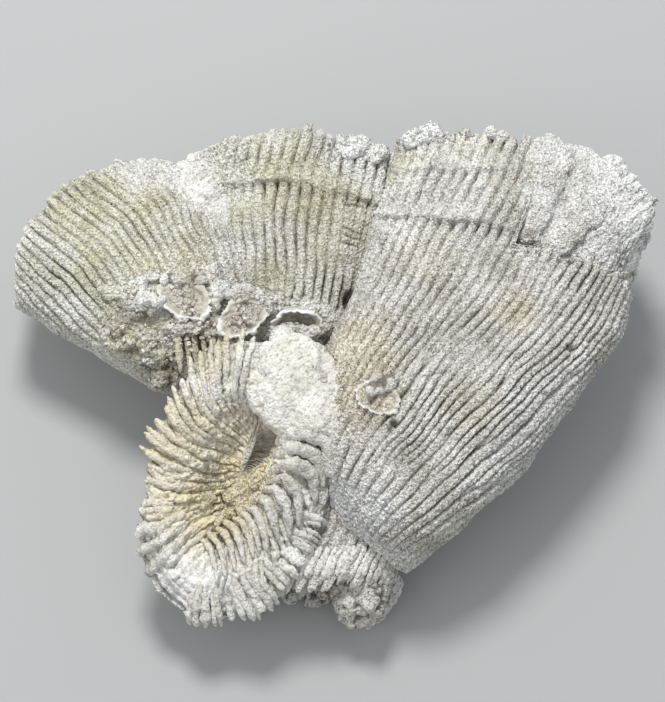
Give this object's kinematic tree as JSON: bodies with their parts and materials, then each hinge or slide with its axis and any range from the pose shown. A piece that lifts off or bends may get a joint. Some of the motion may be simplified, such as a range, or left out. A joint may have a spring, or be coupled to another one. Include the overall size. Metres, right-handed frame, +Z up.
{
  "type": "fossil coral head",
  "caption": "Lobed fossil coral head: flattened branches forking from one flat-cut base, ribbed outside, one opening in a cup of radial blades, with small oyster shells grown on.",
  "frame": {"origin": "middle of the flat cut under the base, in the plane the coral rests on", "axes": "+Z up out of the cut, +X to the right along the widest spread of the lobes, +Y towards the back, the way the three long lobes grow"},
  "size_m": [0.1233, 0.0983, 0.0438],
  "materials": {
    "coral_skeleton": "dry chalky stone, unpolished, finely granular",
    "shell_lime": "dull chalky shell, slightly smoother than the skeleton"
  },
  "bodies": {
    "root": {"right_lobe": "coral_skeleton", "upper_right_lobe": "coral_skeleton", "middle_lobe": "coral_skeleton", "left_lobe": "coral_skeleton", "open_calice": "coral_skeleton", "front_lobe": "coral_skeleton", "oyster_shell_large": "shell_lime", "oyster_shell_round": "shell_lime", "oyster_shell_arched": "shell_lime", "oyster_shell_on_ribs": "shell_lime"}
  },
  "joints": []
}
